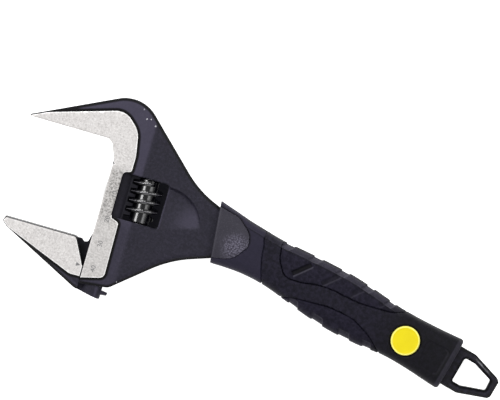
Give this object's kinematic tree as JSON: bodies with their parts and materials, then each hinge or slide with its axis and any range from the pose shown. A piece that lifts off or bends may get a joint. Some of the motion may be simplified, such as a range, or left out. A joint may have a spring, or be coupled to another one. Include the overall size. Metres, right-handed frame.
{
  "type": "adjustable wrench",
  "caption": "Wide-opening thin-jaw adjustable wrench: worm-driven sliding jaw on a rack, black forged body with ground jaw faces, two-part moulded grip with a hang loop.",
  "frame": {"origin": "centre of the fixed jaw's gripping face, at mid thickness", "axes": "+X along the gripping face from the jaw tip towards the handle, -Y out of the fixed gripping face towards the sliding jaw, +Z out of one wide face"},
  "size_m": [0.2038, 0.0788, 0.0156],
  "materials": {
    "black_steel": "satin",
    "ground_steel": "satin",
    "jaw_steel": "satin",
    "worm_steel": "gloss",
    "pin_steel": "satin",
    "spring_steel": "satin",
    "grip_hard": "matte",
    "grip_soft": "matte",
    "thumb_pad": "matte",
    "badge_yellow": "satin"
  },
  "bodies": {
    "handle": {"forged_body": "black_steel", "worm_pin": "pin_steel", "worm_spring": "spring_steel", "grip_collar": "grip_hard", "grip_core": "grip_hard", "upper_grip_panel": "grip_soft", "lower_grip_panel": "grip_soft", "thumb_pad_front": "thumb_pad", "thumb_pad_back": "thumb_pad", "badge_front": "badge_yellow", "badge_back": "badge_yellow"},
    "jaw": {"sliding_jaw": "jaw_steel"},
    "worm": {"worm": "worm_steel"}
  },
  "joints": [
    {"name": "worm_spin", "type": "hinge", "parent": "handle", "child": "worm", "pos_m": [0.0358, -0.02, 0], "axis": [0, 1, 0], "range_deg": [-3996, 151]},
    {"name": "jaw_slide", "type": "slide", "parent": "handle", "child": "jaw", "axis": [0, -1, 0], "range_m": [-0.03995, 0.0015]}
  ],
  "couplings": [
    {"joint": "worm_spin", "follows": "jaw_slide", "rad_per_m": 1745.3}
  ]
}
